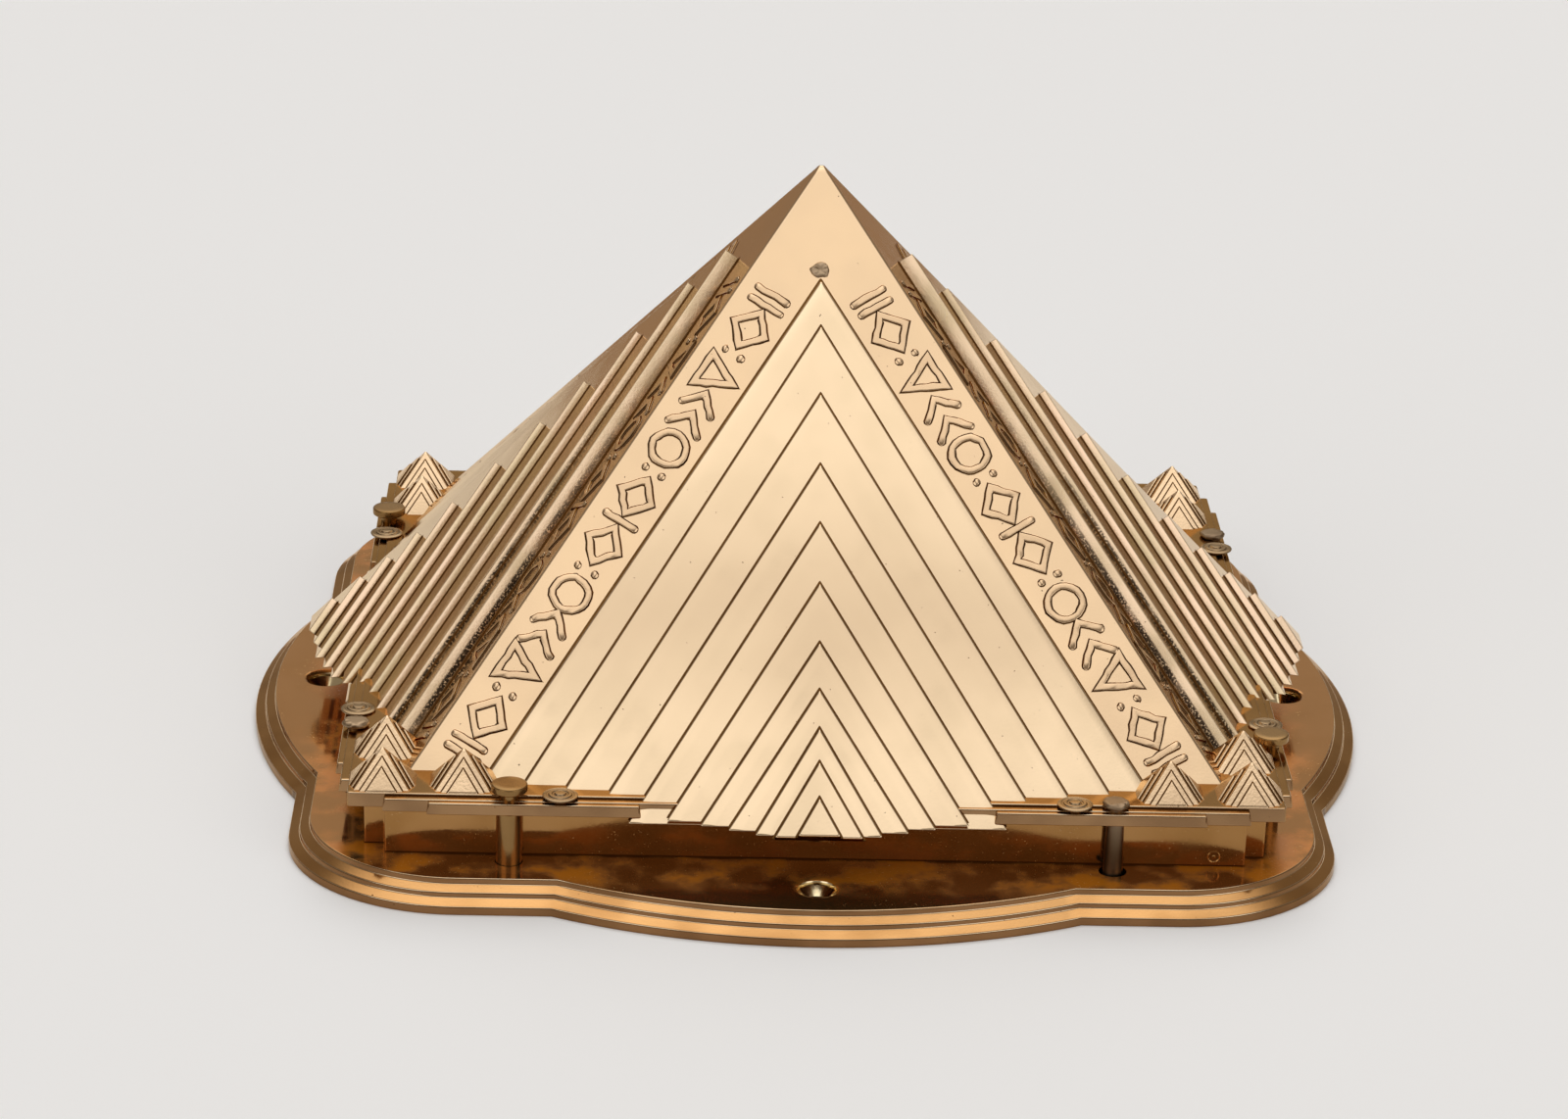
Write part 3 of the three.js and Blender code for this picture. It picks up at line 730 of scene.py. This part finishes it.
def base_plate():
    """The base's edge, underside and holes, and its top as a piece of its own. The edge's material
    numbers are 0 for a riser, painted darker with shade, 1 for a tread, painted lighter with light, 2 for
    the flat top, 3 for a screw's seat, painted with a bright reflection, 4 for a line of painted shade and
    5 for a line of painted highlight."""
    shell = Shell()
    top = Shell()
    places = [
        turned_point((x, y), turn)
        for x, y in ((BUTTON_OFFSET, -PIN_LINE), (STAKE_OFFSET, -PIN_LINE)) for turn in range(4)
    ]
    screws = [turned_point((0, -SCREW_LINE), turn) for turn in range(4)]
    top_holes = [circle(p, SOCKET_RADIUS, SOCKET_STEPS) for p in places]
    top_holes += [circle(p, SCREW_HOLE_RADIUS + SCREW_LIP[0][0], SCREW_STEPS) for p in screws]
    under_holes = [circle(p, SOCKET_RADIUS + BOSS_WALL, SOCKET_STEPS) for p in places]
    under_holes += [circle(p, SCREW_HOLE_RADIUS + BOSS_WALL, SOCKET_STEPS) for p in screws]
    profile = rounded([*EDGE_PROFILE, (TOP_INSET, BASE_HEIGHT)], EDGE_ROUND, closed=False)
    rings = [at_height(scallop(RECESS_INSET), RECESS_HEIGHT), at_height(scallop(RECESS_INSET), 0)]
    rings += [at_height(scallop(inset), height) for inset, height in profile]
    marks = [0, 0]
    for strip, (low, high) in enumerate(zip(profile, profile[1:])):
        run, rise = high - low
        # Each strip's colour follows its slope: risers get painted shade and treads painted light
        plain = 2 if rise < FLAT_SLOPE * run else 1 if rise < run else 0
        marks.append(5 if strip in BRIGHT_STRIPS else 4 if strip in SHADED_STRIPS else plain)
    shell.loft(rings, low_cap=False, high_cap=False, marks=marks)
    top.holed_cap(scallop(TOP_INSET), top_holes, BASE_HEIGHT)
    shell.holed_cap(scallop(RECESS_INSET), under_holes, RECESS_HEIGHT, up=False)
    for centre in places:
        socket = [(SOCKET_RADIUS, BASE_HEIGHT), (SOCKET_RADIUS, 0),
                  (SOCKET_RADIUS + BOSS_WALL, 0), (SOCKET_RADIUS + BOSS_WALL, RECESS_HEIGHT)]
        shell.loft([at_height(circle(centre, r, SOCKET_STEPS)[::-1], h) for r, h in socket], False, False)
    for centre in screws:
        wall = SCREW_HOLE_RADIUS + BOSS_WALL
        hole = [(SCREW_HOLE_RADIUS + out, BASE_HEIGHT - down) for out, down in SCREW_LIP]
        hole += [(SCREW_HOLE_RADIUS, SEAT_TOP), (SEAT_RADIUS, SEAT_TOP - SEAT_DEPTH),
                 (SEAT_RADIUS, 0), (wall, 0), (wall, RECESS_HEIGHT)]
        # Material 3 paints a bright reflection on the hole's upper wall and seat
        shell.loft([at_height(circle(centre, r, SCREW_STEPS)[::-1], h) for r, h in hole], False, False,
                   marks=[2, 2, 3, 3, 3, 0, 0, 0])
    return shell, top


# Tray

def notched_square(half, notch):
    corner = half - notch
    return [Vector(turned_point(p, turn)) for turn in range(4)
            for p in ((half, corner), (corner, corner), (corner, half))]


def plinth_tray():
    shell = Shell()
    outer, inner = (
        rounded(notched_square(half, TRAY_NOTCH), TRAY_ROUND, CORNER_STEPS)
        for half in (TRAY_HALF_WIDTH, TRAY_HALF_WIDTH - TRAY_WALL)
    )
    # Material 1 is the dark joint line along the tray's foot
    shell.loft([
        at_height(outer, BASE_HEIGHT),
        at_height(outer, BASE_HEIGHT + JOINT_LINE),
        at_height(outer, RIM_FOOT),
        at_height(inner, RIM_FOOT),
        at_height(inner, BASE_HEIGHT + TRAY_FLOOR),
    ], marks=[1, 0, 0, 0, 0])
    across, height = MARK_PLACE
    shell.loft([
        [(across + x, -TRAY_HALF_WIDTH - out, height + z) for x, z in circle((0, 0), radius, MARK_STEPS)]
        for radius, out in MARK_PROFILE
    ], low_cap=False)
    return shell


# Cover

class Face:
    """One face of a pyramid: across it, up its slope and out of it."""

    def __init__(self, half, angle, foot, centre=(0, 0), turn=0):
        self.half = half
        self.sine = math.sin(angle)
        self.cosine = math.cos(angle)
        self.foot = foot
        self.centre = centre
        self.turn = turn

    def point(self, across, up, out):
        y = -self.half + up * self.cosine - out * self.sine
        x, y = turned_point((across, y), self.turn)
        return (x + self.centre[0], y + self.centre[1], self.foot + up * self.sine + out * self.cosine)


def raised_triangle(shell, face, apex, foot, low, high, foot_cut, round_off, fillet,
                    crown=0.0, golds=(0, 0, 1)):
    """A triangle that rises from low to high off the face. foot_cut gives its foot at a rise, and golds
    the material numbers of its top, its wall and the groove at its foot, which carries painted shade."""
    shift = high * face.cosine / face.sine
    spread = foot * face.sine / apex
    flank = math.atan(spread)
    lean = (high - low) * LAYER_DRAFT / 2
    edge = high - crown
    clear = low + GROOVE_CLEARANCE
    section = [(low - LAYER_SUNK, -lean - fillet), (clear, -lean - fillet)]
    for corners, radius in (
        ([(clear, -lean - fillet), (clear, -lean), (edge, lean)], fillet),
        ([(clear, -lean), (edge, lean), (edge, lean + round_off * 2)], round_off),
    ):
        section += rounded(corners, radius, CORNER_STEPS, closed=False)[1:-1]
    if crown:
        section += [(high - crown * share, lean + round_off + CROWN_WIDTH * reach)
                    for share, reach in CROWN_SHARES]
    levels = []
    for out, inset in section:
        tip = apex / face.sine - shift - inset / math.sin(flank)
        bottom = foot_cut(out) + min(max(inset, 0), lean + round_off)
        half = (tip - bottom) * spread
        corners = [(-half, bottom), (half, bottom), (0, tip)]
        outline = rounded(corners, round_off * CORNER_ROUND_SHARE, CORNER_STEPS)
        levels.append([face.point(x, s, out) for x, s in outline])
    top, wall, groove = golds
    shell.loft(levels, marks=[groove] * GROOVE_STRIPS + [wall] + [top] * (len(levels) - GROOVE_STRIPS - 1))


def pyramid_rings(half, height, foot, skirt, hip, tip):
    slope = height / half
    stations = [(half + skirt / slope, -skirt)]
    stations += [(width, height - width * slope) for width in (half, tip * 2, tip)]
    peak = height - tip * slope
    stations += [(tip * share, peak + tip * rise) for share, rise in TIP_SHARES]
    return [at_height(rounded(square(width), min(hip, width * HIP_SHARE), CORNER_STEPS), foot + level)
            for width, level in stations]


def cover_layers(shell):
    """The raised triangles. The cover's material numbers are 0 for a plain face, 1 for a triangle's top, 2
    for a riser, 3 for a scorched one, 4 for the groove at its foot, painted with shade, and 5 for a dark
    flank, which is a riser on the front and back painted with shade."""
    for turn in range(4):
        face = Face(FACE_HALF_WIDTH, FACE_ANGLE, RIM_TOP, turn=turn)
        low = 0
        for layer, (apex_share, foot_share) in enumerate(zip(APEX_SHARES, FOOT_SHARES)):
            high = FIRST_STEP + layer * LAYER_STEP
            reach = FACE_HALF_WIDTH + RIM_THICKNESS / math.tan(FACE_ANGLE) + low / face.sine
            drop = SIDE_DROP if layer == DROPPED_LAYER or turn % 2 and reach > LIP_EDGE else 0
            if layer in SHORT_SHARES:
                depth = RIM_THICKNESS * (1 - SHORT_SHARES[layer])

                def foot_cut(out, cut=-(depth + high * face.cosine) / face.sine):
                    return cut
            else:
                def foot_cut(out, face=face, end=-RIM_THICKNESS - drop):
                    return (end - out * face.cosine) / face.sine
            round_off, fillet, crown = (LAYER_EDGES if layer else FIRST_EDGES)[turn % 2]
            if layer >= UNCROWNED_LAYER:
                crown = 0.0
            wall = 5 if turn % 2 == 0 else 3 if layer < len(SCORCHED_RISES) else 2
            raised_triangle(shell, face, apex_share * PYRAMID_HEIGHT, foot_share * FACE_HALF_WIDTH,
                            low, high, foot_cut, round_off, fillet, crown, (1, wall, 4))
            low = high


def slab(start_x, end_x, low_y, high_y, height, draft):
    """A bar along the front side, with its top edges rounded."""
    profile = rounded(
        [(UNDER_CHAMFER, 0), (0, UNDER_CHAMFER), (draft, height), (draft + SLAB_TOP_RUN, height)],
        RIM_ROUND, closed=False,
    )
    rings = []
    for inset, level in profile:
        corners = [(start_x + inset, -high_y + inset), (end_x - inset, -high_y + inset),
                   (end_x - inset, -low_y), (start_x + inset, -low_y)]
        rings.append(at_height(rounded(corners, SLAB_CORNER_ROUND), RIM_FOOT + level))
    shell = Shell()
    # Material 1 paints a highlight on a strip of the rounded top edge
    shell.loft(rings, marks=[0, 0, 0, 0, 0, 0, 1, 0, 0, 0])
    return shell


def cover_rim():
    shell = Shell()
    outline = [(UNDER_CHAMFER, 0), (0, UNDER_CHAMFER), (0, RIM_THICKNESS), (RIM_TOP_RUN, RIM_THICKNESS)]
    opening = rounded(square(OPENING_HALF_WIDTH), OPENING_CORNER_ROUND, CORNER_STEPS)
    rings = [at_height(opening, RIM_FOOT + OPENING_WALL), at_height(opening, RIM_FOOT)]
    rings += [
        at_height(rounded(square(RIM_HALF_WIDTH - inset), RIM_CORNER_ROUND, CORNER_STEPS), RIM_FOOT + level)
        for inset, level in rounded(outline, RIM_ROUND, closed=False)
    ]
    tucked = rounded(square(FACE_HALF_WIDTH - RIM_TUCK), RIM_CORNER_ROUND, CORNER_STEPS)
    rings.append(at_height(tucked, RIM_TOP))
    # Material 1 paints a highlight on a strip of the rim's rounded top edge
    shell.loft(rings, low_cap=False, high_cap=False, marks=[0, 0, 0, 0, 0, 0, 0, 0, 1, 0, 0, 0])
    inner_edge = RIM_HALF_WIDTH - SLAB_TUCK
    for start, end, edge, height in (
        (-LEDGE_HALF_LENGTH, LEDGE_HALF_LENGTH, LEDGE_EDGE, LEDGE_THICKNESS),
        (-LIP_HALF_LENGTH, -LIP_GAP, LIP_EDGE, LIP_THICKNESS),
        (LIP_GAP, LIP_HALF_LENGTH, LIP_EDGE, LIP_THICKNESS),
    ):
        for turn in range(4):
            shell.join(slab(start, end, inner_edge, edge, height, RIM_DRAFT).turn(turn))
    return shell


def cover_body():
    shell = Shell()
    outside = pyramid_rings(FACE_HALF_WIDTH, PYRAMID_HEIGHT, RIM_TOP,
                            RIM_THICKNESS / 2, HIP_ROUND, TIP_HALF_WIDTH)
    shell.loft(outside, low_cap=False)
    hollow_height = PYRAMID_HEIGHT - COVER_WALL / math.cos(FACE_ANGLE)
    hollow = pyramid_rings(hollow_height / math.tan(FACE_ANGLE), hollow_height, RIM_TOP,
                           HOLLOW_SKIRT, HOLLOW_HIP_ROUND, HOLLOW_TIP_HALF_WIDTH)
    shell.loft([ring[::-1] for ring in hollow], low_cap=False)
    cover_layers(shell)
    return shell


def mini_pyramids():
    shell = Shell()
    angle = math.atan(MINI_HEIGHT / MINI_HALF_WIDTH)
    outer = RIM_HALF_WIDTH - MINI_EDGE_GAP - MINI_HALF_WIDTH
    inner = outer - MINI_PITCH
    places = ((outer, outer), (inner, outer), (outer, inner))
    for centre in (turned_point(p, turn) for turn in range(4) for p in places):
        rings = pyramid_rings(MINI_HALF_WIDTH, MINI_HEIGHT, RIM_TOP,
                              MINI_SKIRT, MINI_HIP_ROUND, MINI_TIP_HALF_WIDTH)
        shell.loft([[(x + centre[0], y + centre[1], z) for x, y, z in ring] for ring in rings])
        for turn in range(4):
            face = Face(MINI_HALF_WIDTH, angle, RIM_TOP, centre, turn)
            outward = turned_point((0, -1), turn)
            edge = RIM_HALF_WIDTH - MINI_CLEARANCE - (outward[0] * centre[0] + outward[1] * centre[1])
            low = 0
            for layer, share in enumerate(MINI_SHARES):
                high = (layer + 1) * MINI_STEP

                def foot_cut(out, face=face, edge=edge):
                    ground = (-MINI_SUNK - out * face.cosine) / face.sine
                    upright = (out * face.sine + MINI_HALF_WIDTH - edge) / face.cosine
                    return max(ground, upright)

                raised_triangle(shell, face, share * MINI_HEIGHT, share * MINI_HALF_WIDTH,
                                low, high, foot_cut, MINI_ROUND, MINI_FILLET)
                low = high
    return shell


# Ornament

def ridge(shell, face, path, closed, chance):
    """A low rounded ridge along a path on the face, from points given across and up."""
    points = [Vector(p) for p in path]
    ends = zip(points, points[1:] + points[:1] if closed else points[1:])
    fine = []
    for a, b in ends:
        steps = max(1, round((b - a).length / RIDGE_SPACING))
        fine += [a + (b - a) * step / steps for step in range(steps)]
    if not closed:
        fine.append(points[-1])
    count = len(fine)
    wobbly = [p + Vector((chance.gauss(0, RIDGE_WOBBLE), chance.gauss(0, RIDGE_WOBBLE))) for p in fine]
    sections = []
    for i, p in enumerate(wobbly):
        before = fine[i - 1] if closed or i else None
        after = fine[(i + 1) % count] if closed or i < count - 1 else None
        ahead = (after - fine[i]).normalized() if after is not None else (fine[i] - before).normalized()
        behind = (fine[i] - before).normalized() if before is not None else ahead
        along = (ahead + behind).normalized()
        mitre = 1 / max(along.dot(ahead), MITRE_LIMIT)
        side = Vector((along.y, -along.x)) * mitre
        sections.append((p, along, side, 1 + chance.gauss(0, WIDTH_WOBBLE)))
    if not closed:
        first, last = sections[0], sections[-1]
        grow = RIDGE_WIDTH * END_GROWTH
        tips = [(p + a * grow * sign * reach, a, s, width)
                for (p, a, s, _), sign in ((first, -1), (last, 1)) for reach, width in END_STEPS]
        sections = [tips[1], tips[0], *sections, tips[2], tips[3]]
    rings = []
    for p, _, side, width in sections:
        half = [(share * RIDGE_WIDTH / 2 * width, height * min(width, 1))
                for share, height in RIDGE_SECTION]
        section = half + [(-reach, height) for reach, height in reversed(half)]
        rings.append([face.point(*(p + side * reach), height) for reach, height in section])
    if closed:
        rings.append(rings[0])
    across = RIDGE_MARKS + [0] + RIDGE_MARKS[::-1]
    shell.loft(rings, low_cap=False, high_cap=False, closed=False, across=across)


# Each motif's length along the band, and its paths: points along and across it, and whether they close
MOTIFS = {
    "bar": (1.9, [([(0, -HALF_TALL), (0, HALF_TALL)], False)]),
    "lozenge": (6.5, [([(-2.6, 0), (0, -HALF_TALL), (2.6, 0), (0, HALF_TALL)], True)]),
    "triangle": (5.7, [([(-2.3, -HALF_TALL), (2.3, -HALF_TALL), (0, HALF_TALL)], True)]),
    "chevron": (3.5, [([(-1.1, -HALF_TALL), (1.2, 0), (-1.1, HALF_TALL)], False)]),
    "ring": (5.9, [([tuple(p) for p in circle((0, 0), HALF_TALL, RING_STEPS)], True)]),
    "dots": (2.3, [([(0, -1.3), (0, -1.15)], False), ([(0, 1.15), (0, 1.3)], False)]),
}
BAND = ("bar", "bar", "lozenge", "dots", "triangle", "chevron", "chevron", "ring", "dots", "lozenge", "bar",
        "lozenge", "dots", "ring", "chevron", "chevron", "triangle", "dots", "lozenge", "bar", "bar")


def ornament():
    shell = Shell()
    chance = random.Random(ORNAMENT_SEED)
    flank = math.atan2(PYRAMID_HEIGHT / math.sin(FACE_ANGLE), FACE_HALF_WIDTH)
    along = Vector((math.cos(flank), math.sin(flank)))
    inward = Vector((along.y, -along.x))
    total = sum(MOTIFS[name][0] for name in BAND)
    scale = (BAND_END - BAND_START) / total
    for turn in range(4):
        face = Face(FACE_HALF_WIDTH, FACE_ANGLE, RIM_TOP, turn=turn)
        for mirror in (1, -1):
            place = BAND_START
            for name in BAND:
                length, paths = MOTIFS[name]
                place += length * scale / 2
                middle = Vector((-FACE_HALF_WIDTH, 0)) + along * place + inward * BAND_MIDDLE
                for path, closed in paths:
                    points = [middle + along * t + inward * w for t, w in path]
                    if mirror < 0:
                        points = [Vector((-p.x, p.y)) for p in points][::-1]
                    ridge(shell, face, points, closed, chance)
                place += length * scale / 2
    return shell


def gate_marks():
    """Rough blobs at the tips of the front and back faces' first layers, where the plastic ran in."""
    shell = Shell()
    for turn in (0, 2):
        face = Face(FACE_HALF_WIDTH, FACE_ANGLE, RIM_TOP, turn=turn)
        rings = []
        for share, height in GATE_PROFILE:
            ring = []
            for p in circle((0, 0), 1, GATE_STEPS):
                near = p * GATE_WOBBLE_PITCH
                wobble = share * (1 + GATE_WOBBLE * noise.noise((near.x + turn, near.y, height)))
                fine = p * GATE_ROUGHNESS_PITCH
                rough = 1 + GATE_ROUGHNESS * noise.noise((fine.x, fine.y, turn))
                ring.append(face.point(p.x * GATE_WIDTH * wobble, GATE_PLACE + p.y * GATE_TALL * wobble,
                                       height * rough))
            rings.append(ring)
        shell.loft(rings)
    return shell


# Pins and studs

def pin(kind, offset):
    shell = Shell()
    radius, profile = PIN_PROFILES[kind]
    shell.lathe(rounded(profile, radius, closed=False), PIN_STEPS, (offset, -PIN_LINE))
    if kind == "stake_pin":
        shell.points = [cut_point(p, offset) if p[2] > CUT_START else p for p in shell.points]
    return shell


def cut_point(point, offset):
    """A point of a stake pin's head, moved as if the head had been cut off roughly."""
    x, y, z = point
    push = 1 + CUT_PUSH * (noise.noise(tuple(c * CUT_PUSH_PITCH for c in point)) - 0.5)
    x = offset + (x - offset) * push
    y = -PIN_LINE + (y + PIN_LINE) * push
    drop = 1 + noise.noise((x * CUT_DROP_PITCH, y * CUT_DROP_PITCH, CUT_DROP_PLANE))
    return (x, y, z - CUT_DROP * drop)


add_camera()
add_floor()
add_world()
bpy.context.scene.view_settings.view_transform = "Standard"

golds = {
    name: plated(name, colour, worn, roughness, **more)
    for name, (colour, worn, roughness, more) in GOLDS.items()
}


def coats(*names):
    return [golds[name] for name in names]


base_edge, base_top = base_plate()
make_piece(
    "base_scallop", base_edge,
    coats("base_gold", "base_tread_painted_light_gold", "base_amber", "seat_painted_highlight_gold", "painted_shade_and_joint_gold", "painted_highlight_gold"),
    "base_plate",
)
make_piece("base_top_face", base_top, coats("base_amber"))
make_piece("tray_box", plinth_tray(), coats("tray_gold", "painted_shade_and_joint_gold"), "plinth_tray")
make_piece(
    "cover_shell", cover_body(),
    coats("cover_gold", "layer_gold", "riser_gold", "scorched_gold", "painted_shade_and_joint_gold", "flank_painted_shade_gold"),
    "pyramid_cover",
)
make_piece("cover_rim", cover_rim(), coats("rim_painted_shade_gold", "painted_highlight_gold"))
# The small pyramids' second gold is painted shade in the grooves at their layers' feet
make_piece("cover_small_pyramids", mini_pyramids(), coats("mini_gold", "painted_shade_and_joint_gold"))
make_piece(
    "cover_ornament", ornament(), coats("ornament_gold", "painted_shade_and_joint_gold"),
    sharp=ORNAMENT_SHARP,
)
make_piece("cover_gate_marks", gate_marks(), coats("gate_gold"))
for turn, side in enumerate(SIDES):
    for kind, end, offset, gold, slot in PINS:
        node = f"{kind}_{side}{end}"
        make_piece(f"round_{node}", pin(kind, offset).turn(turn), coats(gold), node)
